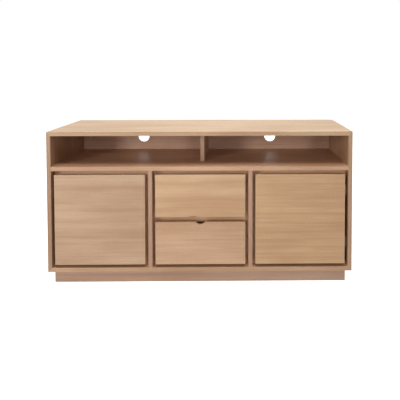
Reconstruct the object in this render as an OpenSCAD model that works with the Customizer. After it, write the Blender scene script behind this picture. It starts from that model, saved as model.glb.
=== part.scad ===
// Media cabinet: a mitred timber carcass with an open compartment across the top, a hinged door at each
// side, two stacked drawers between them, and a recessed plinth.
// Millimetres. +Z is up, +X runs along the cabinet, the front faces -Y, and the floor is at Z = 0.

/* [Carcass] */
// Overall width
width = 1500; // [1300:10:1700]
// Overall depth
depth = 450; // [420:10:520]
// Thickness of the carcass boards, doors and drawer fronts
board = 20; // [18:1:22]
// Clear height of the open compartment
niche_h = 152; // [120:1:200]
// Set-back of the compartment's centre divider from the front
niche_setback = 125; // [60:5:200]
// Thickness of the back panels
back_t = 9; // [6:1:9]
// Width and depth of the rebate that takes the back panels
rebate = 10; // [10:1:12]
// Diameter of the cable holes
cable_d = 65; // [50:1:80]
// Distance of each cable hole from the centre line
cable_x = 375; // [300:5:450]
// Height of the cable holes above the fixed shelf
cable_z = 76; // [60:1:90]

/* [Plinth] */
// Height of the plinth
plinth_h = 54; // [40:1:80]
// Set-back of the plinth at the front
plinth_front_in = 8; // [5:1:40]
// Set-back of the plinth at the sides
plinth_side_in = 31; // [10:1:60]
// Set-back of the plinth at the back
plinth_back_in = 20; // [10:1:60]

/* [Fronts] */
// Height of the doors
front_h = 446; // [400:1:480]
// Gap at each side of a front
gap_side = 15; // [14:0.5:18]
// Gap above the fronts
gap_top = 20; // [10:1:25]
// Gap below the fronts
gap_bottom = 16; // [8:1:20]
// Gap between the drawers
gap_mid = 25; // [16:1:30]
// Distance of the rails behind the front plane
rail_in = 47; // [45:1:60]
// Width of the finger notch in the lower drawer
notch_w = 47; // [30:1:70]
// Depth of the finger notch in the lower drawer
notch_h = 13; // [8:1:16]
// Width of the finger notch in the upper drawer
notch_up_w = 58; // [30:1:80]
// Depth of the finger notch in the upper drawer
notch_up_h = 6; // [3:0.5:12]
// Distance of the upper notch to the left of the centre line
notch_up_x = 34; // [0:1:60]

/* [Hinges] */
// Distance of the hinge pin from the door's edge
pin_in = 15; // [14:0.5:17]
// Distance of the hinge pin behind the front plane
pin_back = 23; // [23:0.5:24]
// Distance of each hinge from the door's top and bottom
hinge_end = 90; // [70:5:120]
// Diameter of the hinge pins
pin_d = 4; // [3:0.5:5]
// Radial clearance of the hinge pins in the arms
pin_clear = 0.05; // [0.02:0.01:0.1]

/* [Drawers] */
// Thickness of the drawer box sides
box_t = 12; // [10:1:15]
// Height of the drawer boxes
box_h = 150; // [100:1:160]
// Length of the drawer boxes behind the fronts
box_l = 360; // [360:5:370]
// Thickness of the drawer bottoms
box_bottom_t = 6; // [4:1:9]
// Length of the runners
runner_l = 330; // [300:10:330]

/* [Inside] */
// Thickness of the adjustable shelves
loose_t = 18; // [16:1:20]
// Set-back of the adjustable shelves from the front
loose_in = 75; // [70:5:120]
// Diameter of the shelf pins
shelf_pin_d = 5; // [5:1:7]
// Distance between the shelf pin holes
pin_pitch = 32; // [25:1:40]

/* [Hidden] */

fine = 96;
medium = 32;
small = 20;
eps = 1;

// Planes of the carcass
x_side = width / 2 - board;
y_front = -depth / 2;
y_back = depth / 2;
y_rebate = y_back - rebate;
z_bottom = plinth_h + board;
z_front = z_bottom + gap_bottom;
z_front_top = z_front + front_h;
z_shelf = z_front_top + gap_top;
z_niche = z_shelf + board;
z_top = z_niche + niche_h;
height = z_top + board;
z_split = z_shelf + board / 2;
z_middle = (z_bottom + z_shelf) / 2;

// Bays and fronts
bay_w = (width - 4 * board) / 3;
x_divider = bay_w / 2 + board / 2;
x_bay = bay_w + board;
front_w = bay_w - 2 * gap_side;
drawer_h = (front_h - gap_mid) / 2;
z_upper = z_front + drawer_h + gap_mid;
y_behind = y_front + board;

// Plinth
plinth_t = board;
plinth_x = width / 2 - plinth_side_in;
plinth_y0 = y_front + plinth_front_in;
plinth_y1 = y_back - plinth_back_in;
cross_x = x_divider;
block_size = 40;
block_gap = 4;

// Rails behind the gaps
rail_t = 20;
rail_h = 50;
rail_mid_h = 36;
rail_mid_drop = 5;
y_rail = y_front + rail_in;
stile_w = gap_side + 10;
lining_t = gap_side;

// Dowels
dowel_r = 4;
dowel_l = 30;
dowel_in = 10;
dowel_play = 0.5;
dowel_y = [y_front + 60, 0, y_back - 70];

// Back panel screws
screw_r = 1.75;
screw_head_r = 3.5;
screw_head_t = 2;
screw_l = 22;
screw_in = 5;
screw_end = 60;
screw_spread = [0.17, 0.51, 0.84];

// Hinges
pin_x = x_side - gap_side - pin_in;
pin_y = y_front + pin_back;
hinge_z = [z_front + hinge_end, z_front_top - hinge_end];
cup_r = 17.5;
cup_wall = 2;
cup_deep = 12;
cup_in = 22.5;
cup_x = x_side - gap_side - cup_in;
flange_r = 19;
flange_t = 1.4;
wing_w = 12;
wing_h = 60;
lug_t = 2;
lug_r = 4;
lug_gap = 5;
knuckle_r = 3.8;
knuckle_half = 4.6;
leg_off = 0.3;
leg_t = 3.5;
arm_back = 19;
arm_t = 5;
arm_len = 43;
arm_half = 8;
arm_deep = 7;
plate_t = 2;
plate_half = 24;
plate_y0 = pin_y + 22;
plate_y1 = pin_y + 60;

// Catches
catch_w = 20;
catch_h = 16;
strike_w = 36;
catch_in = 32;
catch_down = 28;
catch_x = x_divider + board / 2 + gap_side + catch_in;
catch_z = z_front_top - catch_down;
strike_t = 1.2;
catch_gap = 0.4;

// Drawer boxes and runners
runner_t = 13;
runner_h = 45;
runner_metal = 1.2;
runner_step = 1.6;
outer_tip = 9;
slide_gap = 0.5;
slide_tip = 10.5;
inner_tip = 3.4;
box_x = bay_w / 2 - lining_t - runner_t;
box_up = 8;
groove_z = 10;
groove_deep = 6;
runner_z = 60;
runner_y0 = y_rail + 3;
front_screw_r = 2;
front_screw_head_r = 4;
front_screw_head_t = 2;
front_screw_deep = 12;
front_screw_x = 130;
front_screw_z = 40;

// Adjustable shelves
loose_play = 1;
pin_row_y = [y_front + 110, y_back - 80];
pin_row_z = z_middle - 20;
pin_hole_deep = 10;
shelf_pin_l = 18;
pin_count = 2;

oak = [0.76, 0.62, 0.47];
oak_light = [0.82, 0.69, 0.54];
oak_dark = [0.64, 0.5, 0.37];
birch = [0.86, 0.77, 0.61];
ply = [0.78, 0.66, 0.5];
steel = [0.72, 0.73, 0.75];
zinc = [0.6, 0.61, 0.63];
plastic = [0.85, 0.84, 0.8];

module block(x0, x1, y0, y1, z0, z1)
  translate([x0, y0, z0])
    cube([x1 - x0, y1 - y0, z1 - z0]);

module rod_x(x0, x1, y, z, r, fn)
  translate([x0, y, z])
    rotate([0, 90, 0])
      cylinder(r = r, h = x1 - x0, $fn = fn);

module rod_y(x, y0, y1, z, r, fn)
  translate([x, y0, z])
    rotate([-90, 0, 0])
      cylinder(r = r, h = y1 - y0, $fn = fn);

module rod_z(x, y, z0, z1, r, fn)
  translate([x, y, z0])
    cylinder(r = r, h = z1 - z0, $fn = fn);

// A profile drawn in X and Z, run along Y.
module run_y(y0, y1)
  translate([0, y1, 0])
    rotate([90, 0, 0])
      linear_extrude(y1 - y0)
        children();

module both_sides() {
  children();
  mirror([1, 0, 0])
    children();
}

// ---- Dowels: play lengthens the bores so that a dowel never bottoms in one.

module dowels_across(play)
  for (y = dowel_y)
    rod_x(x_side - dowel_l + dowel_in - play, x_side + dowel_in + play, y, z_split, dowel_r, small);

module dowels_up(x, z, play, from = y_front)
  for (y = dowel_y)
    if (y > from)
      rod_z(x, y, z - dowel_in - play, z + dowel_l - dowel_in + play, dowel_r, small);

module dowels_down(x, z, play, from = y_front)
  for (y = dowel_y)
    if (y > from)
      rod_z(x, y, z - dowel_l + dowel_in - play, z + dowel_in + play, dowel_r, small);

module centre_dowels(play) {
  dowels_up(0, z_niche, play, y_front + niche_setback);
  dowels_down(0, z_top, play, y_front + niche_setback);
}

module dowels()
  color(birch) {
    both_sides() {
      dowels_across(0);
      dowels_up(x_divider, z_bottom, 0);
      dowels_down(x_divider, z_shelf, 0);
    }
    centre_dowels(0);
  }

// ---- Carcass

module back_rebate()
  block(-x_side - rebate, x_side + rebate, y_rebate, y_back + eps, z_bottom - rebate, z_top + rebate);

module pin_holes(x0, x1)
  for (y = pin_row_y, i = [-pin_count:pin_count])
    rod_x(x0, x1, y, pin_row_z + i * pin_pitch, shelf_pin_d / 2, small);

module top_panel()
  color(oak)
    difference() {
      run_y(y_front, y_back)
        polygon([[-width / 2, height], [width / 2, height], [x_side, z_top], [-x_side, z_top]]);
      back_rebate();
      centre_dowels(dowel_play);
      back_screw_shanks();
    }

module bottom_panel()
  color(oak)
    difference() {
      run_y(y_front, y_back)
        polygon([[-width / 2, plinth_h], [width / 2, plinth_h], [x_side, z_bottom], [-x_side, z_bottom]]);
      back_rebate();
      both_sides()
        dowels_up(x_divider, z_bottom, dowel_play);
      back_screw_shanks();
    }

module side_board()
  difference() {
    run_y(y_front, y_back)
      polygon([
        [width / 2, plinth_h], [width / 2, height], [x_side, z_top], [x_side, z_bottom]
      ]);
    back_rebate();
    dowels_across(dowel_play);
    pin_holes(x_side - eps, x_side + pin_hole_deep);
    back_screw_shanks();
  }

module side_left()
  color(oak)
    mirror([1, 0, 0])
      side_board();

module side_right()
  color(oak)
    side_board();

module fixed_shelf()
  color(oak)
    difference() {
      block(-x_side, x_side, y_front, y_rebate, z_shelf, z_niche);
      both_sides() {
        dowels_across(dowel_play);
        dowels_down(x_divider, z_shelf, dowel_play);
      }
      centre_dowels(dowel_play);
      back_screw_shanks();
    }

module bay_divider()
  difference() {
    block(x_divider - board / 2, x_divider + board / 2, y_front, y_rebate, z_bottom, z_shelf);
    dowels_up(x_divider, z_bottom, dowel_play);
    dowels_down(x_divider, z_shelf, dowel_play);
    pin_holes(x_divider + board / 2 - pin_hole_deep, x_divider + board / 2 + eps);
    back_screw_shanks();
  }

module divider_left()
  color(oak)
    mirror([1, 0, 0])
      bay_divider();

module divider_right()
  color(oak)
    bay_divider();

module centre_divider()
  color(oak)
    difference() {
      block(-board / 2, board / 2, y_front + niche_setback, y_rebate, z_niche, z_top);
      centre_dowels(dowel_play);
      back_screw_shanks();
    }

// ---- Back panels and their screws

module back_panel(z0, z1)
  difference() {
    block(-x_side - rebate, x_side + rebate, y_rebate, y_rebate + back_t, z0, z1);
    back_screw_shanks();
    back_screw_heads();
  }

module back_upper()
  color(ply)
    difference() {
      back_panel(z_split, z_top + rebate);
      both_sides()
        rod_y(cable_x, y_rebate - eps, y_back, z_niche + cable_z, cable_d / 2, fine);
    }

module back_lower()
  color(ply)
    back_panel(z_bottom - rebate, z_split);

module back_screw_places() {
  both_sides() {
    for (x = [x_side + screw_in, x_divider], z = [z_bottom + screw_end, z_middle, z_shelf - screw_end])
      translate([x, 0, z])
        children();
    translate([x_side + screw_in, 0, z_top - niche_h / 2])
      children();
    for (x = screw_spread * x_side, z = [z_bottom - screw_in, z_split - screw_in])
      translate([x, 0, z])
        children();
    for (x = screw_spread * x_side, z = [z_split + screw_in, z_top + screw_in])
      translate([x, 0, z])
        children();
  }
  translate([0, 0, z_top - niche_h / 2])
    children();
}

module back_screw_shanks()
  back_screw_places()
    rod_y(0, y_rebate + back_t - screw_l, y_rebate + back_t, 0, screw_r, small);

module back_screw_heads()
  back_screw_places()
    translate([0, y_rebate + back_t, 0])
      rotate([90, 0, 0])
        cylinder(r1 = screw_head_r, r2 = screw_r, h = screw_head_t, $fn = small);

module back_screws()
  color(zinc) {
    back_screw_shanks();
    back_screw_heads();
  }

// ---- Rails, stiles and linings behind the gaps

module rail(x, half, z_high, h)
  block(x - half, x + half, y_rail, y_rail + rail_t, z_high - h, z_high);

module rail_left()
  color(oak_light)
    rail(-x_bay, bay_w / 2, z_shelf, rail_h);

module rail_middle()
  color(oak_light)
    rail(0, bay_w / 2 - lining_t, z_shelf, rail_h);

module rail_right()
  color(oak_light)
    rail(x_bay, bay_w / 2, z_shelf, rail_h);

module rail_drawers()
  color(oak_light)
    rail(0, bay_w / 2 - lining_t, z_upper - rail_mid_drop, rail_mid_h);

module stile()
  block(
    x_bay - bay_w / 2, x_bay - bay_w / 2 + stile_w, y_rail, y_rail + rail_t,
    z_bottom, z_shelf - rail_h
  );

module stile_left()
  color(oak_light)
    mirror([1, 0, 0])
      stile();

module stile_right()
  color(oak_light)
    stile();

module drawer_linings()
  color(oak_light)
    both_sides()
      block(bay_w / 2 - lining_t, bay_w / 2, y_rail, y_rebate, z_bottom, z_shelf);

// ---- Plinth

module plinth_front()
  color(oak_dark)
    linear_extrude(plinth_h)
      polygon([
        [-plinth_x, plinth_y0], [plinth_x, plinth_y0],
        [plinth_x - plinth_t, plinth_y0 + plinth_t], [-plinth_x + plinth_t, plinth_y0 + plinth_t]
      ]);

module plinth_side()
  linear_extrude(plinth_h)
    polygon([
      [plinth_x, plinth_y0], [plinth_x, plinth_y1],
      [plinth_x - plinth_t, plinth_y1], [plinth_x - plinth_t, plinth_y0 + plinth_t]
    ]);

module plinth_left()
  color(oak_dark)
    mirror([1, 0, 0])
      plinth_side();

module plinth_right()
  color(oak_dark)
    plinth_side();

module plinth_back()
  color(oak_dark)
    block(-plinth_x + plinth_t, plinth_x - plinth_t, plinth_y1 - plinth_t, plinth_y1, 0, plinth_h);

module plinth_cross()
  color(oak_dark)
    both_sides()
      block(
        cross_x - plinth_t / 2, cross_x + plinth_t / 2,
        plinth_y0 + plinth_t, plinth_y1 - plinth_t, 0, plinth_h
      );

module plinth_block(y, s)
  translate([plinth_x - plinth_t, y, block_gap])
    linear_extrude(plinth_h - block_gap)
      polygon([[0, 0], [-block_size, 0], [0, s * block_size]]);

module plinth_blocks()
  color(birch)
    both_sides() {
      plinth_block(plinth_y0 + plinth_t, 1);
      plinth_block(plinth_y1 - plinth_t, -1);
    }

// ---- Adjustable shelves

module loose_shelf()
  block(
    x_bay - bay_w / 2 + loose_play, x_bay + bay_w / 2 - loose_play,
    y_front + loose_in, y_rebate - 2 * loose_play,
    pin_row_z + shelf_pin_d / 2, pin_row_z + shelf_pin_d / 2 + loose_t
  );

module shelf_left()
  color(oak_light)
    mirror([1, 0, 0])
      loose_shelf();

module shelf_right()
  color(oak_light)
    loose_shelf();

module shelf_pins()
  color(steel)
    both_sides()
      for (y = pin_row_y) {
        rod_x(
          x_side + pin_hole_deep - shelf_pin_l, x_side + pin_hole_deep,
          y, pin_row_z, shelf_pin_d / 2, small
        );
        rod_x(
          x_bay - bay_w / 2 - pin_hole_deep, x_bay - bay_w / 2 - pin_hole_deep + shelf_pin_l,
          y, pin_row_z, shelf_pin_d / 2, small
        );
      }

// ---- Doors, drawn at the right and mirrored for the left

module door()
  difference() {
    block(x_bay - front_w / 2, x_bay + front_w / 2, y_front, y_behind, z_front, z_front_top);
    for (z = hinge_z)
      rod_y(cup_x, y_behind - cup_deep, y_behind + eps, z, cup_r, fine);
  }

module hinge_cup(z)
  difference() {
    union() {
      difference() {
        union() {
          rod_y(cup_x, y_behind - cup_deep, y_behind + flange_t, z, cup_r, fine);
          rod_y(cup_x, y_behind, y_behind + flange_t, z, flange_r, fine);
          block(
            cup_x - wing_w / 2, cup_x + wing_w / 2, y_behind, y_behind + flange_t,
            z - wing_h / 2, z + wing_h / 2
          );
        }
        rod_y(cup_x, y_behind - cup_deep + cup_wall, y_behind + flange_t + eps, z, cup_r - cup_wall, fine);
      }
      for (s = [-1, 1])
        translate([0, 0, z + s * (lug_gap + lug_t / 2)])
          hinge_lug();
    }
    rod_z(pin_x, pin_y, z - lug_gap - lug_t - eps, z + lug_gap + lug_t + eps, pin_d / 2, medium);
  }

module hinge_lug() {
  rod_z(pin_x, pin_y, -lug_t / 2, lug_t / 2, lug_r, medium);
  block(pin_x - lug_r, pin_x + lug_r, y_behind - cup_deep + cup_wall / 2, pin_y, -lug_t / 2, lug_t / 2);
}

module hinge_pins()
  for (z = hinge_z)
    rod_z(pin_x, pin_y, z - lug_gap - lug_t, z + lug_gap + lug_t, pin_d / 2, medium);

module hinge_arm(z)
  difference() {
    union() {
      rod_z(pin_x, pin_y, z - knuckle_half, z + knuckle_half, knuckle_r, medium);
      block(
        pin_x - leg_off - leg_t, pin_x - leg_off, pin_y, pin_y + arm_back + arm_t,
        z - knuckle_half, z + knuckle_half
      );
      block(
        pin_x - leg_off - leg_t, x_side - plate_t, pin_y + arm_back, pin_y + arm_back + arm_t,
        z - arm_half, z + arm_half
      );
      block(
        x_side - plate_t - arm_deep, x_side - plate_t, pin_y + arm_back, pin_y + arm_back + arm_len,
        z - arm_half, z + arm_half
      );
    }
    rod_z(pin_x, pin_y, z - knuckle_half - eps, z + knuckle_half + eps, pin_d / 2 + pin_clear, medium);
  }

module hinge_arms()
  for (z = hinge_z)
    hinge_arm(z);

module hinge_plates()
  color(zinc)
    both_sides()
      for (z = hinge_z)
        block(x_side - plate_t, x_side, plate_y0, plate_y1, z - plate_half, z + plate_half);

module hinge_arms_left()
  color(steel)
    mirror([1, 0, 0])
      hinge_arms();

module hinge_arms_right()
  color(steel)
    hinge_arms();

module strike()
  block(
    catch_x - strike_w / 2, catch_x + strike_w / 2, y_behind, y_behind + strike_t,
    catch_z, catch_z + catch_h
  );

module catches()
  color(plastic)
    both_sides()
      block(
        catch_x - catch_w / 2, catch_x + catch_w / 2, y_behind + strike_t + catch_gap, y_rail,
        catch_z, catch_z + catch_h
      );

module door_left()
  color(oak)
    mirror([1, 0, 0])
      door();

module hinge_cups_left()
  color(steel)
    mirror([1, 0, 0])
      for (z = hinge_z)
        hinge_cup(z);

module hinge_pins_left()
  color(zinc)
    mirror([1, 0, 0])
      hinge_pins();

module strike_left()
  color(zinc)
    mirror([1, 0, 0])
      strike();

module door_right()
  color(oak)
    door();

module hinge_cups_right()
  color(steel)
    for (z = hinge_z)
      hinge_cup(z);

module hinge_pins_right()
  color(zinc)
    hinge_pins();

module strike_right()
  color(zinc)
    strike();

// ---- Drawers: z is the bottom edge of the drawer's front

function notch_radius(w, h) = (w * w / 4 + h * h) / (2 * h);

module drawer_front(z)
  block(-front_w / 2, front_w / 2, y_front, y_behind, z, z + drawer_h);

module box_side(z)
  difference() {
    block(box_x - box_t, box_x, y_behind, y_behind + box_l, z + box_up, z + box_up + box_h);
    box_bottom(z);
  }

module box_cross(z, y)
  difference() {
    block(-box_x + box_t, box_x - box_t, y, y + box_t, z + box_up, z + box_up + box_h);
    box_bottom(z);
  }

module box_sub_front(z)
  difference() {
    box_cross(z, y_behind);
    front_screws(z);
  }

module box_back(z)
  box_cross(z, y_behind + box_l - box_t);

module box_bottom(z)
  block(
    -box_x + box_t - groove_deep, box_x - box_t + groove_deep,
    y_behind + box_t - groove_deep, y_behind + box_l - box_t + groove_deep,
    z + box_up + groove_z, z + box_up + groove_z + box_bottom_t
  );

module front_screws(z)
  for (x = [-1, 1] * front_screw_x, dz = [front_screw_z, box_h - front_screw_z]) {
    rod_y(x, y_behind - front_screw_deep, y_behind + box_t, z + box_up + dz, front_screw_r, small);
    rod_y(
      x, y_behind + box_t, y_behind + box_t + front_screw_head_t,
      z + box_up + dz, front_screw_head_r, small
    );
  }

// A channel that opens towards the drawer, or away from it when its web is on the drawer's side.
module channel(z, web_x, tip_x, half)
  both_sides()
    run_y(runner_y0, runner_y0 + runner_l)
      translate([bay_w / 2 - lining_t, z + box_up + runner_z])
        difference() {
          translate([-max(web_x, tip_x), -half])
            square([abs(tip_x - web_x), 2 * half]);
          translate([
            web_x < tip_x ? -tip_x - eps : -web_x + runner_metal,
            -half + runner_metal
          ])
            square([abs(tip_x - web_x) - runner_metal + eps, 2 * (half - runner_metal)]);
        }

module outer_runner(z)
  channel(z, 0, outer_tip, runner_h / 2);

module slide_runner(z)
  channel(z, runner_metal + slide_gap, slide_tip, runner_h / 2 - runner_step);

module inner_runner(z)
  channel(z, runner_t, inner_tip, runner_h / 2 - 2 * runner_step);

module runners_outer()
  color(steel)
    for (z = [z_front, z_upper])
      outer_runner(z);

module upper_front()
  color(oak)
    difference() {
      drawer_front(z_upper);
      front_screws(z_upper);
      rod_y(
        -notch_up_x, y_front - eps, y_behind + eps,
        z_upper + notch_up_h - notch_radius(notch_up_w, notch_up_h),
        notch_radius(notch_up_w, notch_up_h), fine
      );
    }

module upper_side_left()
  color(birch)
    mirror([1, 0, 0])
      box_side(z_upper);

module upper_side_right()
  color(birch)
    box_side(z_upper);

module upper_sub_front()
  color(birch)
    box_sub_front(z_upper);

module upper_back()
  color(birch)
    box_back(z_upper);

module upper_bottom()
  color(ply)
    box_bottom(z_upper);

module upper_screws()
  color(zinc)
    front_screws(z_upper);

module upper_runners()
  color(steel)
    inner_runner(z_upper);

module upper_slides()
  color(zinc)
    slide_runner(z_upper);

module lower_front()
  color(oak)
    difference() {
      drawer_front(z_front);
      front_screws(z_front);
      rod_y(
        0, y_front - eps, y_behind + eps,
        z_front + drawer_h - notch_h + notch_radius(notch_w, notch_h),
        notch_radius(notch_w, notch_h), fine
      );
    }

module lower_side_left()
  color(birch)
    mirror([1, 0, 0])
      box_side(z_front);

module lower_side_right()
  color(birch)
    box_side(z_front);

module lower_sub_front()
  color(birch)
    box_sub_front(z_front);

module lower_back()
  color(birch)
    box_back(z_front);

module lower_bottom()
  color(ply)
    box_bottom(z_front);

module lower_screws()
  color(zinc)
    front_screws(z_front);

module lower_runners()
  color(steel)
    inner_runner(z_front);

module lower_slides()
  color(zinc)
    slide_runner(z_front);

top_panel();
side_left();
side_right();
bottom_panel();
fixed_shelf();
divider_left();
divider_right();
centre_divider();
back_upper();
back_lower();
rail_left();
rail_middle();
rail_right();
rail_drawers();
plinth_front();
plinth_back();
plinth_left();
plinth_right();
plinth_cross();
plinth_blocks();
dowels();
back_screws();
shelf_left();
shelf_right();
shelf_pins();
hinge_plates();
hinge_arms_left();
hinge_arms_right();
catches();
stile_left();
stile_right();
drawer_linings();
runners_outer();
door_left();
hinge_cups_left();
hinge_pins_left();
strike_left();
door_right();
hinge_cups_right();
hinge_pins_right();
strike_right();
upper_front();
upper_side_left();
upper_side_right();
upper_sub_front();
upper_back();
upper_bottom();
upper_screws();
upper_runners();
upper_slides();
lower_front();
lower_side_left();
lower_side_right();
lower_sub_front();
lower_back();
lower_bottom();
lower_screws();
lower_runners();
lower_slides();
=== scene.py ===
"""Media cabinet: oak boards, birch drawer boxes and their hardware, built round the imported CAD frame."""

import math

import bmesh
import bpy
from mathutils import Matrix, Vector


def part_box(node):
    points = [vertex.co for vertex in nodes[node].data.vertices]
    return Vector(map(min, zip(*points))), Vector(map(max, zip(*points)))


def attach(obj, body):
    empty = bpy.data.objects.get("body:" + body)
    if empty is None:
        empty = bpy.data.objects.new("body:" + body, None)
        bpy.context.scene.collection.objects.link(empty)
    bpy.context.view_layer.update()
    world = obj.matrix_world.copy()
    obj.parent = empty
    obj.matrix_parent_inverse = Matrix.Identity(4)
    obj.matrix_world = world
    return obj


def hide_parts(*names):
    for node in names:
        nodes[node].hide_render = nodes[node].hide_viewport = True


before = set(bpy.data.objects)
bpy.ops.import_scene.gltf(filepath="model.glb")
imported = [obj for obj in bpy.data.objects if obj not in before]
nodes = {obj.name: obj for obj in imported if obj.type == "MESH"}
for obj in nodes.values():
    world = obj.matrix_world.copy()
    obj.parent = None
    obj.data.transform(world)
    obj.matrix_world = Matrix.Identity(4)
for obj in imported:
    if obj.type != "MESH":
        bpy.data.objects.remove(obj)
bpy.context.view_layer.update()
MM = 0.001
# Points closer than this are one point.
SAME = 0.005 * MM

# ---------------------------------------------------------------- Materials


def linear(colour):
    """The linear value of an sRGB colour given as three numbers from 0 to 255."""
    return tuple(
        (c / 255 / 12.92 if c / 255 <= 0.04045 else ((c / 255 + 0.055) / 1.055) ** 2.4) for c in colour
    ) + (1.0,)


class Tree:
    """A material's node tree, with short forms for the nodes that the finishes share."""

    def __init__(self, name):
        self.mat = bpy.data.materials.new(name)
        self.mat.use_nodes = True
        self.nodes = self.mat.node_tree.nodes
        self.links = self.mat.node_tree.links
        self.shader = self.nodes["Principled BSDF"]
        self.place = self.add("ShaderNodeTexCoord").outputs["Object"]

    def add(self, kind, **values):
        node = self.nodes.new(kind)
        for key, value in values.items():
            self.put(node.inputs[key.replace("_", " ").title()], value)
        return node

    def put(self, socket, value):
        if isinstance(value, bpy.types.NodeSocket):
            self.links.new(value, socket)
        else:
            socket.default_value = value

    def shade(self, socket, value):
        self.put(self.shader.inputs[socket], value)

    def math(self, operation, a, b=0.0):
        node = self.add("ShaderNodeMath")
        node.operation = operation
        for socket, value in zip(node.inputs, (a, b)):
            self.put(socket, value)
        return node.outputs[0]

    def mapped(self, vector, scale=(1, 1, 1), turn=(0, 0, 0), move=(0, 0, 0)):
        node = self.add("ShaderNodeMapping", Vector=vector, Scale=scale, Rotation=turn, Location=move)
        return node.outputs[0]

    def noise(self, vector, scale, detail=2.0, roughness=0.5, distortion=0.0):
        node = self.add(
            "ShaderNodeTexNoise", Vector=vector, Scale=scale, Detail=detail,
            Roughness=roughness, Distortion=distortion,
        )
        return node.outputs["Fac"]

    def ramp(self, factor, *stops):
        """A ramp of greys through stops, each a place from 0 to 1 and its level."""
        node = self.add("ShaderNodeValToRGB", Fac=factor)
        band = node.color_ramp
        while len(band.elements) < len(stops):
            band.elements.new(0.5)
        for element, (at, level) in zip(band.elements, stops):
            element.position = at
            element.color = (level, level, level, 1)
        return node.outputs["Color"]

    def span(self, value, low, high, to_low=0.0, to_high=1.0):
        """Value from low to high, taken to to_low to to_high and held there outside."""
        node = self.add(
            "ShaderNodeMapRange", Value=value, From_Min=low, From_Max=high, To_Min=to_low, To_Max=to_high
        )
        return node.outputs[0]

    def mix(self, factor, a, b, blend="MIX"):
        node = self.nodes.new("ShaderNodeMix")
        node.data_type = "RGBA"
        node.blend_type = blend
        for socket, value in zip((node.inputs[0], node.inputs[6], node.inputs[7]), (factor, a, b)):
            self.put(socket, value)
        return node.outputs[2]

    def bump(self, height, strength, distance):
        return self.add("ShaderNodeBump", Height=height, Strength=strength, Distance=distance).outputs[0]

    def along(self, axis):
        """The place on a board as its grain's axis followed by the other two, and the parts of the place."""
        parts = self.add("ShaderNodeSeparateXYZ", Vector=self.place).outputs
        board = self.nodes.new("ShaderNodeCombineXYZ")
        for socket, index in zip(board.inputs, AXES[axis]):
            self.put(socket, parts[index])
        return board.outputs[0], parts


def edge_of(tree, low, high, reach):
    """1 on the arrises of the box from low to high, fading to 0 at reach from them."""
    centre = (low + high) / 2
    half = (high - low) / 2
    middle = tree.mapped(tree.place, move=-centre)
    parts = tree.add("ShaderNodeSeparateXYZ", Vector=middle).outputs
    depths = [tree.math("SUBTRACT", half[i], tree.math("ABSOLUTE", parts[i])) for i in range(3)]
    least = tree.math("MINIMUM", tree.math("MINIMUM", depths[0], depths[1]), depths[2])
    most = tree.math("MAXIMUM", tree.math("MAXIMUM", depths[0], depths[1]), depths[2])
    total = tree.math("ADD", tree.math("ADD", depths[0], depths[1]), depths[2])
    second = tree.math("SUBTRACT", tree.math("SUBTRACT", total, least), most)
    return tree.span(second, 0.0, reach, 1.0, 0.0)


# The order of X, Y and Z on a board whose grain runs along each axis.
AXES = {"x": (0, 1, 2), "y": (1, 0, 2), "z": (2, 0, 1)}
# The depth of a front edge's own colour, and the reach of the wear from an oak and from a birch arris.
LIP = 1.5 * MM
OAK_WEAR = 1.6 * MM
BIRCH_WEAR = 1.2 * MM
# The slope of a log's axis against its board's, and a year's growth of oak.
LEAN = 0.03
RING = 5.2 * MM
# Thickness of one ply of birch.
PLY = 1.4 * MM
OAK_LIGHT = linear((206, 171, 137))
OAK_MID = linear((187, 149, 115))
OAK_DARK = linear((150, 109, 78))
OAK_PORE = linear((98, 64, 41))
BIRCH_LIGHT = linear((232, 211, 176))
BIRCH_MID = linear((216, 189, 148))
BIRCH_FIBRE = linear((190, 156, 112))
BIRCH_DARK = linear((172, 132, 90))
STEEL_LINES = linear((110, 110, 112))


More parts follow.
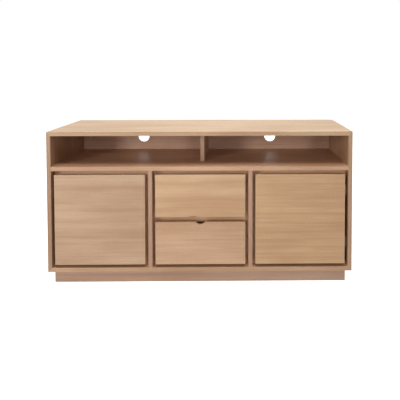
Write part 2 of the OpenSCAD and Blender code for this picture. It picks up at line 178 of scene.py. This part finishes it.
def oak(name, node, along, tint, lip, seed, pith):
    """Oak for one board. along is its grain's axis, tint its colour against the mean board's, lip the
    colour of its front edge against its faces, seed the board's number, which moves it along the log, and
    pith the place of the log's heart from the board's centre, across the grain."""
    tree = Tree(name)
    low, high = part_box(node)
    board, parts = tree.along(along)
    centre = (low + high) / 2
    centre = Vector([centre[axis] for axis in AXES[along]])
    grain = tree.mapped(board, move=(seed * 1.37 - centre[0], -centre[1], -centre[2]))
    log = tree.mapped(grain, turn=(0, LEAN, LEAN * 0.4), move=(0, pith[0], pith[1]))

    # The year rings, bent by the tree's slow wander, with a sharp start and a soft end.
    wander = tree.noise(tree.mapped(log, scale=(0.6, 4, 4)), 1.0, 3.0, 0.4)
    flat = tree.mapped(log, scale=(0, 1, 1))
    radius = tree.add("ShaderNodeVectorMath", Vector=flat)
    radius.operation = "LENGTH"
    bent = tree.math("ADD", radius.outputs["Value"], tree.math("MULTIPLY", wander, 0.07))
    rings = tree.math("FRACT", tree.math("DIVIDE", bent, RING))
    early = tree.ramp(rings, (0.0, 1.0), (0.22, 0.55), (0.62, 0.12), (0.94, 0.0), (1.0, 0.85))

    # Fibres, pores and the slow drift of colour from one part of the board to another.
    fibre = tree.noise(tree.mapped(grain, scale=(6, 620, 620)), 1.0, 3.0, 0.55)
    streak = tree.noise(tree.mapped(grain, scale=(0.9, 42, 42)), 1.0, 6.0, 0.75)
    drift = tree.noise(tree.mapped(grain, scale=(1.6, 6, 6)), 1.0, 3.0, 0.55)
    pores = tree.noise(tree.mapped(grain, scale=(85, 1700, 1700)), 1.0, 1.0, 0.5)
    pored = tree.math("MULTIPLY", tree.span(pores, 0.60, 0.70), tree.span(early, 0.0, 0.7, 0.25, 1.0))
    flecks = tree.noise(tree.mapped(grain, scale=(45, 240, 900), turn=(0.5, 0, 0)), 1.0, 0.0, 0.5)
    fleck = tree.span(flecks, 0.70, 0.78)

    base = tree.mix(tree.span(drift, 0.38, 0.64), OAK_LIGHT, OAK_MID)
    base = tree.mix(tree.math("MULTIPLY", early, 0.22), base, OAK_DARK)
    base = tree.mix(tree.span(streak, 0.42, 0.70, 0.0, 0.52), base, OAK_DARK)
    base = tree.mix(tree.span(fibre, 0.3, 0.7, 0.0, 0.2), base, OAK_DARK)
    base = tree.mix(tree.math("MULTIPLY", fleck, 0.20), base, OAK_LIGHT)
    base = tree.mix(tree.math("MULTIPLY", pored, 0.45), base, OAK_PORE)
    edge = edge_of(tree, low, high, OAK_WEAR)
    worn = tree.math("MULTIPLY", edge, tree.span(streak, 0.3, 0.7, 0.25, 0.8))
    base = tree.mix(tree.math("MULTIPLY", worn, 0.35), base, OAK_DARK)
    # The board's tint; on some boards it holds painted shade or painted light.
    base = tree.mix(1.0, base, tint + (1.0,), "MULTIPLY")
    # The front edge's tint, which on some boards takes the painted shade or light back off the edge.
    front = tree.span(parts[1], low[1], low[1] + LIP, 1.0, 0.0)
    tree.shade("Base Color", tree.mix(front, base, tree.mix(1.0, base, lip + (1.0,), "MULTIPLY")))

    rough = tree.math("ADD", tree.span(fibre, 0.2, 0.8, 0.36, 0.46), tree.math("MULTIPLY", pored, 0.25))
    tree.shade("Roughness", tree.math("ADD", rough, tree.math("MULTIPLY", worn, -0.06)))
    tree.shade("Specular IOR Level", 0.5)
    dents = tree.bump(tree.math("SUBTRACT", tree.math("MULTIPLY", fibre, 0.35), pored), 0.35, 0.25 * MM)
    tree.shade("Normal", dents)
    return tree.mat


# Each board: the axis of its grain, its tint, its front edge's tint, and where the log's heart lies. Some
# tints and front-edge tints hold painted shade or painted light, as noted at those boards.
EVEN = (1.0, 1.0, 1.0)
EDGE = (0.84, 0.78, 0.82)
# Lighter than the mean board: painted light on the rails, stiles and linings seen through the shadow gaps,
# standing for light that reaches into the gaps.
GAP_PAINTED_LIGHT = (1.3, 1.24, 1.2)
BOARDS = {
    # top_panel's tint is paler than the other boards' as painted sheen on the top; its front edge is darkened
    # again.
    "top_panel": ("x", (1.0, 1.07, 1.03), (0.9, 0.86, 0.88), (0.05, 0.16)),
    # side_left's faces are darkened as painted shade, standing for the shaded inner face of the open
    # compartment; its front edge is lightened back.
    "side_left": ("z", (0.65, 0.57, 0.52), (1.1, 1.19, 1.29), (0.12, 0.05)),
    "side_right": ("z", (0.8, 0.75, 0.71), (0.95, 1.0, 1.04), (-0.14, -0.03)),
    # bottom_panel's faces are lightened as painted light on its top face in the gap under the doors; its
    # front edge is darkened back.
    "bottom_panel": ("x", (1.15, 1.12, 1.1), (0.77, 0.76, 0.75), (0.1, 0.12)),
    # fixed_shelf is reddened as painted bounce light inside the open compartment; its front edge is tinted
    # back.
    "fixed_shelf": ("x", (1.0, 0.9, 0.92), (1.02, 1.09, 1.09), (-0.06, 0.14)),
    "divider_left": ("z", EVEN, (0.76, 0.69, 0.74), (0.13, 0.1)),
    "divider_right": ("z", EVEN, EDGE, (-0.1, 0.12)),
    "centre_divider": ("z", EVEN, (0.81, 0.8, 0.9), (0.1, -0.08)),
    "back_upper": ("x", (1.12, 1.08, 1.24), EVEN, (0.2, 0.05)),
    "back_lower": ("x", (1.02, 0.99, 1.07), EVEN, (0.18, -0.1)),
    "rail_left": ("x", GAP_PAINTED_LIGHT, EVEN, (0.1, 0.2)),
    "rail_middle": ("x", GAP_PAINTED_LIGHT, EVEN, (0.1, 0.17)),
    "rail_right": ("x", GAP_PAINTED_LIGHT, EVEN, (0.1, -0.2)),
    "rail_drawers": ("x", GAP_PAINTED_LIGHT, EVEN, (0.1, 0.2)),
    # The plinth's boards are darkened as painted shade, standing for the light falling off towards the floor
    # under the bottom panel.
    "plinth_front": ("x", (0.76, 0.74, 0.82), EVEN, (0.1, 0.15)),
    "plinth_back": ("x", (0.76, 0.74, 0.82), EVEN, (0.1, 0.12)),
    "plinth_left": ("y", (0.76, 0.74, 0.82), EVEN, (0.1, 0.12)),
    "plinth_right": ("y", (0.76, 0.74, 0.82), EVEN, (-0.1, 0.12)),
    "plinth_cross": ("y", EVEN, EVEN, (0.1, 0.1)),
    "stile_left": ("z", GAP_PAINTED_LIGHT, EVEN, (0.1, 0.2)),
    "stile_right": ("z", GAP_PAINTED_LIGHT, EVEN, (0.1, -0.2)),
    "drawer_linings": ("y", GAP_PAINTED_LIGHT, EVEN, (0.12, 0.1)),
    "shelf_left": ("x", EVEN, EVEN, (0.1, 0.13)),
    "shelf_right": ("x", EVEN, EVEN, (0.1, -0.15)),
    "door_left": ("x", (0.93, 0.95, 0.98), EVEN, (0.17, -0.28)),
    "door_right": ("x", (1.0, 0.97, 0.87), EVEN, (0.15, 0.30)),
    "upper_front": ("x", (1.09, 1.1, 1.06), EVEN, (0.2, -0.16)),
    "lower_front": ("x", (1.05, 1.04, 1.06), EVEN, (0.16, 0.2)),
}


def finish_boards():
    """Gives every board in BOARDS its oak."""
    for seed, (name, (along, tint, lip, pith)) in enumerate(BOARDS.items(), start=1):
        dress(name, oak("oak_" + name, name, along, tint, lip, seed, pith), 0.9 * MM)


def birch(name, node, along, across):
    """Birch plywood for a drawer board, with its plies showing on the edges. across is its thickness axis."""
    tree = Tree(name)
    low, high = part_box(node)
    grain, parts = tree.along(along)
    thick = "xyz".index(across)
    plies = 2 * round((high[thick] - low[thick]) / PLY / 2 - 0.5) + 1
    level = tree.span(parts[thick], low[thick], high[thick], 0.0, plies)
    turned = tree.math("PINGPONG", tree.math("FLOOR", level), 1.0)
    fibre = tree.noise(tree.mapped(grain, scale=(5, 380, 380)), 1.0, 3.0, 0.55)
    figure = tree.noise(tree.mapped(grain, scale=(1.4, 26, 26)), 1.0, 3.0, 0.55, 0.4)
    base = tree.mix(tree.span(figure, 0.3, 0.7), BIRCH_LIGHT, BIRCH_MID)
    base = tree.mix(tree.span(fibre, 0.35, 0.7, 0.0, 0.2), base, BIRCH_FIBRE)
    base = tree.mix(tree.math("MULTIPLY", turned, 0.55), base, BIRCH_DARK)
    edge = edge_of(tree, low, high, BIRCH_WEAR)
    base = tree.mix(tree.math("MULTIPLY", edge, 0.18), base, BIRCH_DARK)
    tree.shade("Base Color", base)
    tree.shade("Roughness", tree.span(fibre, 0.3, 0.7, 0.42, 0.52))
    tree.shade("Normal", tree.bump(fibre, 0.2, 0.15 * MM))
    return tree.mat


def metal(name, colour, rough, along):
    """Plated steel, with fine lines along one axis and slow clouding."""
    tree = Tree(name)
    scale = tuple(40.0 if axis == along else 1400.0 for axis in "xyz")
    lines = tree.noise(tree.mapped(tree.place, scale=scale), 1.0, 2.0, 0.6)
    cloud = tree.noise(tree.place, 60.0, 3.0, 0.55)
    dull = linear(tuple(c * 0.9 for c in colour))
    tone = tree.mix(tree.span(cloud, 0.3, 0.7), linear(colour), dull)
    tree.shade("Base Color", tree.mix(tree.span(lines, 0.3, 0.7, 0.0, 0.12), tone, STEEL_LINES))
    tree.shade("Metallic", 1.0)
    brushed = tree.span(lines, 0.3, 0.7, rough - 0.05, rough + 0.05)
    tree.shade("Roughness", tree.math("ADD", brushed, tree.span(cloud, 0.3, 0.7, 0.0, 0.06)))
    tree.shade("Normal", tree.bump(lines, 0.15, 0.03 * MM))
    return tree.mat


def moulded(name, colour):
    """Moulded plastic with a fine sparked texture."""
    tree = Tree(name)
    spark = tree.noise(tree.place, 2600.0, 2.0, 0.6)
    cloud = tree.noise(tree.place, 90.0, 2.0, 0.5)
    dull = linear(tuple(c * 0.94 for c in colour))
    tree.shade("Base Color", tree.mix(tree.span(cloud, 0.3, 0.7), linear(colour), dull))
    tree.shade("Roughness", tree.span(spark, 0.3, 0.7, 0.42, 0.55))
    tree.shade("Normal", tree.bump(spark, 0.25, 0.04 * MM))
    return tree.mat


# ---------------------------------------------------------------- Finishes on the CAD's pieces


def dress(name, material, ease):
    """Gives a CAD node its finish, and eases its sharp edges by a width, with modifiers."""
    piece = nodes[name]
    for slot in piece.material_slots:
        slot.material = material
    weld = piece.modifiers.new("weld", "WELD")
    weld.merge_threshold = SAME
    planar = piece.modifiers.new("planar", "DECIMATE")
    planar.decimate_type = "DISSOLVE"
    planar.angle_limit = math.radians(0.5)
    bevel = piece.modifiers.new("ease", "BEVEL")
    bevel.width = ease
    bevel.segments = 2
    bevel.limit_method = "ANGLE"
    bevel.angle_limit = math.radians(35)
    bevel.use_clamp_overlap = True
    bevel.harden_normals = True


def finish_birch():
    """Gives the drawer boxes, the dowels and the plinth's blocks their birch."""
    for end in ("upper_", "lower_"):
        for name in (end + "side_left", end + "side_right"):
            dress(name, birch("birch_" + name, name, "y", "x"), 0.6 * MM)
        for name in (end + "sub_front", end + "back"):
            dress(name, birch("birch_" + name, name, "x", "y"), 0.6 * MM)
        name = end + "bottom"
        dress(name, birch("birch_" + name, name, "x", "z"), 0.3 * MM)
    for name in ("dowels", "plinth_blocks"):
        dress(name, birch("birch_" + name, name, "y", "x"), 0.4 * MM)


finish_boards()
finish_birch()

nickel = metal("nickel", (206, 204, 198), 0.24, "z")
zinc = metal("zinc", (186, 190, 196), 0.34, "y")
rolled = metal("rolled_steel", (176, 180, 186), 0.3, "y")
white_plastic = moulded("catch_plastic", (226, 222, 210))
ferrite = moulded("magnet", (58, 58, 60))

for node in ("hinge_arms_left", "hinge_arms_right", "hinge_cups_left", "hinge_cups_right"):
    dress(node, nickel, 0.4 * MM)
for node in ("hinge_plates", "hinge_pins_left", "hinge_pins_right", "strike_left", "strike_right"):
    dress(node, zinc, 0.2 * MM)
for node in ("runners_outer", "upper_runners", "upper_slides", "lower_runners", "lower_slides"):
    dress(node, rolled, 0.15 * MM)
dress("catches", white_plastic, 0.6 * MM)

# ---------------------------------------------------------------- Screws, shelf pins and catches

# Sides of a turned piece, and the turn in radians from one screw's recess to the next.
AROUND = 24
GOLDEN = 2.4
# Sizes of the CAD's hardware that the small pieces sit on.
PIN_HOLE = 10 * MM
ARM_DEEP = 7 * MM
CUP_FLANGE = 1.4 * MM
RUNNER_WEB = 1.2 * MM


def circle(radius, z):
    """The points of a turned piece's ring."""
    angles = [math.tau * i / AROUND for i in range(AROUND)]
    return [(radius * math.cos(angle), radius * math.sin(angle), z) for angle in angles]


def band(first):
    """The faces between the ring that starts at that point and the next ring."""
    after = first + AROUND
    return [(first + i, first + (i + 1) % AROUND, after + (i + 1) % AROUND, after + i) for i in range(AROUND)]


def cross(radius, z):
    """The outline of a cross recess in a head of that radius, with as many points as a ring."""
    wide = 0.14 * radius
    reach = 0.52 * radius
    arm = [(reach, 0), (reach, wide), ((reach + wide) / 2, wide), (wide, wide)]
    quadrant = arm + [(y, x) for x, y in arm[2:0:-1]]
    points = []
    for turn in range(AROUND // len(quadrant)):
        c = round(math.cos(turn * math.pi / 2))
        n = round(math.sin(turn * math.pi / 2))
        points += [(x * c - y * n, x * n + y * c, z) for x, y in quadrant]
    return points


def screw(radius, height, shank, length, flat=False):
    """A screw along +Z with a cross recess, from its head's radius and height, its shank's radius and its
    length under the head. The origin is at a round head's foot, or at a flat head's top."""
    if flat:
        top = 0.0
        head = [(shank, -height), (0.96 * radius, -0.12 * height), (radius, -0.04 * height)]
        head += [(0.97 * radius, 0)]
    else:
        top = height
        head = [(shank, 0), (0.95 * radius, 0), (radius, 0.12 * height), (radius, 0.38 * height)]
        head += [(0.93 * radius, 0.68 * height), (0.78 * radius, 0.92 * height)]
    tip = [(0.4 * shank, -length), (shank, -length + 1.2 * shank)]
    verts = []
    for r, z in tip + head + [(0.64 * radius, top)]:
        verts += circle(r, z)
    verts += cross(radius, top)
    verts += cross(0.72 * radius, top - 0.5 * radius)
    last = len(verts) - AROUND
    faces = [tuple(reversed(range(AROUND)))]
    for first in range(0, last, AROUND):
        faces += band(first)
    verts.append((0, 0, top - 0.56 * radius))
    faces += [(last + i, last + (i + 1) % AROUND, len(verts) - 1) for i in range(AROUND)]
    return verts, faces


def turned(profile):
    """A closed solid turned round +Z from pairs of radius and height."""
    verts = [point for r, z in profile for point in circle(r, z)]
    last = len(verts) - AROUND
    faces = [tuple(reversed(range(AROUND))), tuple(range(last, last + AROUND))]
    for first in range(0, last, AROUND):
        faces += band(first)
    return verts, faces


def slab(size, ease):
    """A block of that size about the origin, with its edges eased."""
    mesh = bmesh.new()
    bmesh.ops.create_cube(mesh, size=1.0, matrix=Matrix.Diagonal((*size, 1.0)))
    bmesh.ops.bevel(mesh, geom=mesh.edges[:], offset=ease, segments=2, profile=0.5, affect="EDGES")
    verts = [tuple(vert.co) for vert in mesh.verts]
    faces = [tuple(vert.index for vert in face.verts) for face in mesh.faces]
    mesh.free()
    return verts, faces


def aimed(place, axis, spin=0.0):
    """The matrix that takes +Z to an axis and the origin to a place, turned by spin about the axis."""
    turn = Vector((0, 0, 1)).rotation_difference(Vector(axis)).to_matrix().to_4x4()
    return Matrix.Translation(place) @ turn @ Matrix.Rotation(spin, 4, "Z")


def assemble(name, body, material, parts, replaced=()):
    """One piece from parts, each a matrix and a shape, riding on a body."""
    verts, faces = [], []
    for matrix, (points, sides) in parts:
        first = len(verts)
        verts += [matrix @ Vector(point) for point in points]
        faces += [tuple(first + i for i in side) for side in sides]
    mesh = bpy.data.meshes.new(name)
    mesh.from_pydata(verts, [], faces)
    mesh.validate()
    mesh.shade_smooth()
    mesh.set_sharp_from_angle(angle=math.radians(32))
    mesh.materials.append(material)
    piece = bpy.data.objects.new(name, mesh)
    bpy.context.scene.collection.objects.link(piece)
    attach(piece, body)
    if replaced:
        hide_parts(*replaced)


def solids(name):
    """The lowest and highest corners of each separate solid of a CAD node, in order along X, Y and Z."""
    mesh = bmesh.new()
    mesh.from_mesh(nodes[name].data)
    bmesh.ops.remove_doubles(mesh, verts=mesh.verts, dist=SAME)
    left = set(mesh.verts)
    boxes = []
    while left:
        grow = [left.pop()]
        points = []
        while grow:
            vert = grow.pop()
            points.append(vert.co.copy())
            near = [edge.other_vert(vert) for edge in vert.link_edges]
            near = [other for other in near if other in left]
            left.difference_update(near)
            grow += near
        low = Vector([min(point[i] for point in points) for i in range(3)])
        high = Vector([max(point[i] for point in points) for i in range(3)])
        boxes.append((low, high))
    mesh.free()
    return sorted(boxes, key=lambda box: [round(value, 5) for value in box[0]])


def back_screws():
    """Countersunk screws that hold the back panels."""
    parts = []
    for i, (low, high) in enumerate(solids("back_screws")):
        place = ((low.x + high.x) / 2, high.y, (low.z + high.z) / 2)
        shape = screw(3.5 * MM, 2.0 * MM, 1.75 * MM, high.y - low.y, flat=True)
        parts.append((aimed(place, (0, 1, 0), GOLDEN * i), shape))
    assemble("back_screw_set", "carcass", zinc, parts, ("back_screws",))


def front_screws(end, body):
    """Round-headed screws through a drawer box into its front."""
    parts = []
    head = 2.0 * MM
    for i, (low, high) in enumerate(solids(end + "_screws")):
        place = ((low.x + high.x) / 2, high.y - head, (low.z + high.z) / 2)
        shape = screw(4.0 * MM, head, 2.0 * MM, high.y - head - low.y)
        parts.append((aimed(place, (0, 1, 0), GOLDEN * i), shape))
    assemble(end + "_screw_set", body, zinc, parts, (end + "_screws",))


def shelf_pins():
    """Turned pins: a plain end in the board, a collar against its face, an eased end under the shelf."""
    ease = 0.7 * MM
    collar = 0.8 * MM
    parts = []
    for low, high in solids("shelf_pins"):
        middle = (low + high) / 2
        radius = (high.z - low.z) / 2
        half = (high.x - low.x) / 2
        face = PIN_HOLE - half
        bay = math.copysign(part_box("divider_right")[1].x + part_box("side_right")[0].x, middle.x) / 2
        inward = 1 if bay > middle.x else -1
        profile = [
            (radius - ease, -half), (radius, ease - half), (radius, face), (1.5 * radius, face),
            (1.5 * radius, face + collar), (radius, face + collar),
            (radius, half - ease), (radius - ease, half),
        ]
        parts.append((aimed(middle, (inward, 0, 0)), turned(profile)))
    assemble("shelf_pin_set", "carcass", nickel, parts, ("shelf_pins",))


def hinge_screws():
    """The screws through each cup's wings, each plate and each strike, and the two that adjust each arm."""
    wing = screw(3.2 * MM, 1.7 * MM, 1.6 * MM, 9 * MM)
    fixing = screw(3.4 * MM, 1.8 * MM, 1.7 * MM, 12 * MM)
    setting = screw(3.2 * MM, 1.1 * MM, 1.6 * MM, 4 * MM)
    small = screw(2.6 * MM, 0.9 * MM, 1.3 * MM, 7 * MM)
    plate_screw = 17 * MM
    wing_screw = 24.6 * MM
    strike_screw = 4 * MM
    setting_places = (-12 * MM, 9 * MM)
    still = []
    for low, high in solids("hinge_plates"):
        side = 1 if low.x > 0 else -1
        face = low.x if side > 0 else high.x
        middle = (low + high) / 2
        for i, rise in enumerate((-plate_screw, plate_screw)):
            still.append((aimed((face, middle.y, middle.z + rise), (-side, 0, 0), i + 0.4), fixing))
        face -= side * ARM_DEEP
        for i, along in enumerate(setting_places):
            still.append((aimed((face, middle.y + along, middle.z), (-side, 0, 0), i + 0.9), setting))
    assemble("hinge_screws", "carcass", zinc, still)
    for side in ("left", "right"):
        parts = []
        for low, high in solids("hinge_cups_" + side):
            middle = (low + high) / 2
            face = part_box("door_" + side)[1].y + CUP_FLANGE
            for i, rise in enumerate((-wing_screw, wing_screw)):
                parts.append((aimed((middle.x, face, middle.z + rise), (0, 1, 0), i + 0.2), wing))
        low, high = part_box("strike_" + side)
        for i, x in enumerate((low.x + strike_screw, high.x - strike_screw)):
            parts.append((aimed((x, high.y, (low.z + high.z) / 2), (0, 1, 0), i + 0.7), small))
        assemble(f"door_{side}_screws", f"door_{side}_body", zinc, parts)


def runner_screws(end, body):
    """Thin-headed screws through the web of each inner runner member into the drawer's side."""
    thin = screw(3.5 * MM, 0.9 * MM, 1.7 * MM, 9 * MM)
    shares = (0.09, 0.45, 0.92)
    parts = []
    for low, high in solids(end + "_runners"):
        side = 1 if low.x > 0 else -1
        face = low.x + RUNNER_WEB if side > 0 else high.x - RUNNER_WEB
        for i, share in enumerate(shares):
            place = (face, low.y + share * (high.y - low.y), (low.z + high.z) / 2)
            parts.append((aimed(place, (side, 0, 0), GOLDEN * i), thin))
    assemble(end + "_runner_screws", body, zinc, parts)


def catch_fittings():
    """On each catch: the magnet, its two steel pole plates, and an ear with a screw at each end."""
    core_deep = 3 * MM
    ear_wide = 9 * MM
    ear_thick = 3 * MM
    ear_out = 4 * MM
    fixing = screw(2.8 * MM, 1.4 * MM, 1.4 * MM, 12 * MM)
    magnet, poles, ears, fixings = [], [], [], []
    for low, high in solids("catches"):
        middle = (low + high) / 2
        wide = high.x - low.x
        tall = high.z - low.z
        core = slab((0.7 * wide, 6.2 * MM, 0.3 * tall), 0.3 * MM)
        pole = slab((0.75 * wide, 6.4 * MM, 1.4 * MM), 0.2 * MM)
        ear = slab((ear_wide, ear_thick, 0.8 * tall), 0.8 * MM)
        magnet.append((Matrix.Translation((middle.x, low.y + core_deep, middle.z)), core))
        for rise in (-0.2 * tall, 0.2 * tall):
            poles.append((Matrix.Translation((middle.x, low.y + core_deep, middle.z + rise)), pole))
        for side in (-1, 1):
            x = middle.x + side * (wide / 2 + ear_out)
            ears.append((Matrix.Translation((x, high.y - ear_thick / 2, middle.z)), ear))
            fixings.append((aimed((x, high.y - ear_thick, middle.z), (0, -1, 0), side + 1.5), fixing))
    assemble("catch_magnets", "carcass", ferrite, magnet)
    assemble("catch_poles", "carcass", zinc, poles)
    assemble("catch_ears", "carcass", white_plastic, ears)
    assemble("catch_screws", "carcass", zinc, fixings)


back_screws()
front_screws("upper", "drawer_upper")
front_screws("lower", "drawer_lower")
shelf_pins()
hinge_screws()
runner_screws("upper", "drawer_upper")
runner_screws("lower", "drawer_lower")
catch_fittings()

# ---------------------------------------------------------------- Stage, light and camera

WHITE = (1, 1, 1, 1)
FLOOR_REACH = 9.0
FLOOR_PALE = (0.5, 0.5, 0.5, 1)
FLOOR_CLOUD = (0.48, 0.48, 0.48, 1)
# How brightly the floor glows to the eye, and how much of that it sheds on the cabinet.
FLOOR_SEEN = 0.97
FLOOR_CAST = 0.04
# Heights on the cabinet that the lights are turned to.
BELOW_MIDDLE = 0.4
ABOVE_MIDDLE = 0.6
NEAR_TOP = 0.7


def floor():
    """A pale floor, wide enough for every view. It glows white to the eye and sheds little light."""
    mesh = bpy.data.meshes.new("floor")
    corners = [(x * FLOOR_REACH, y * FLOOR_REACH, 0) for x, y in ((-1, -1), (1, -1), (1, 1), (-1, 1))]
    mesh.from_pydata(corners, [], [(0, 1, 2, 3)])
    piece = bpy.data.objects.new("floor", mesh)
    bpy.context.scene.collection.objects.link(piece)
    tree = Tree("pale_floor")
    cloud = tree.noise(tree.place, 3.0, 3.0, 0.5)
    tree.shade("Base Color", tree.mix(tree.span(cloud, 0.3, 0.7), FLOOR_PALE, FLOOR_CLOUD))
    tree.shade("Roughness", 0.9)
    tree.shade("Specular IOR Level", 0.1)
    tree.shade("Emission Color", WHITE)
    ray = tree.add("ShaderNodeLightPath").outputs["Is Diffuse Ray"]
    tree.shade("Emission Strength", tree.span(ray, 0.0, 1.0, FLOOR_SEEN, FLOOR_CAST))
    mesh.materials.append(tree.mat)


def soft_light(name, power, size, place, target, glossy=True):
    """An area light of a width and height, at place, turned to target. Without glossy nothing mirrors it."""
    data = bpy.data.lights.new(name, "AREA")
    data.energy = power
    data.shape = "RECTANGLE"
    data.size, data.size_y = size
    lamp = bpy.data.objects.new(name, data)
    lamp.location = place
    lamp.visible_glossy = glossy
    lamp.rotation_euler = (Vector(target) - Vector(place)).to_track_quat("-Z", "Y").to_euler()
    bpy.context.scene.collection.objects.link(lamp)


def surroundings(seen, cast):
    """A white room: seen is its brightness to the eye and in reflections, cast the light that it sheds."""
    world = bpy.data.worlds.new("white_room")
    world.use_nodes = True
    tree = world.node_tree
    ray = tree.nodes.new("ShaderNodeLightPath")
    strength = tree.nodes.new("ShaderNodeMapRange")
    tree.links.new(ray.outputs["Is Diffuse Ray"], strength.inputs["Value"])
    strength.inputs["To Min"].default_value = seen
    strength.inputs["To Max"].default_value = cast
    tree.links.new(strength.outputs[0], tree.nodes["Background"].inputs["Strength"])
    tree.nodes["Background"].inputs["Color"].default_value = WHITE
    bpy.context.scene.world = world


def photographer(place, yaw, pitch, lens, shift):
    """The camera. yaw turns it to the right and pitch turns it up, in radians, and lens is in millimetres."""
    data = bpy.data.cameras.new("camera")
    data.lens = lens
    data.sensor_width = 36
    data.shift_x, data.shift_y = shift
    camera = bpy.data.objects.new("camera", data)
    camera.location = place
    camera.rotation_euler = (math.pi / 2 + pitch, 0, -yaw)
    bpy.context.scene.collection.objects.link(camera)
    bpy.context.scene.camera = camera


floor()
surroundings(seen=1.0, cast=0.07)
# The left light models the fronts, the right one fills them from far off, and the third lights the top.
soft_light("left_light", 90, (0.9, 1.6), (-2.7, -3.9, 1.45), (0, 0, ABOVE_MIDDLE))
soft_light("right_light", 300, (2.0, 4.8), (4.0, -12.0, 2.9), (0, 0, ABOVE_MIDDLE))
soft_light("over_light", 74, (1.6, 1.6), (0.0, -0.8, 3.1), (0, 0, NEAR_TOP))
# The fills light the outer sides and the back. They are behind the fronts and don't reach them.
soft_light("left_fill", 60, (2.0, 2.0), (-4.2, 0.8, 1.6), (-0.75, 0, BELOW_MIDDLE), glossy=False)
soft_light("right_fill", 60, (2.0, 2.0), (4.2, 0.8, 1.6), (0.75, 0, BELOW_MIDDLE), glossy=False)
soft_light("back_fill", 90, (2.0, 2.0), (0.0, 4.6, 1.8), (0, 0.2, BELOW_MIDDLE), glossy=False)
photographer((0.1894, -2.2407, 1.0705), yaw=0.0117, pitch=-0.0342, lens=37.21, shift=(-0.1088, -0.30))
bpy.context.scene.view_settings.view_transform = "Standard"
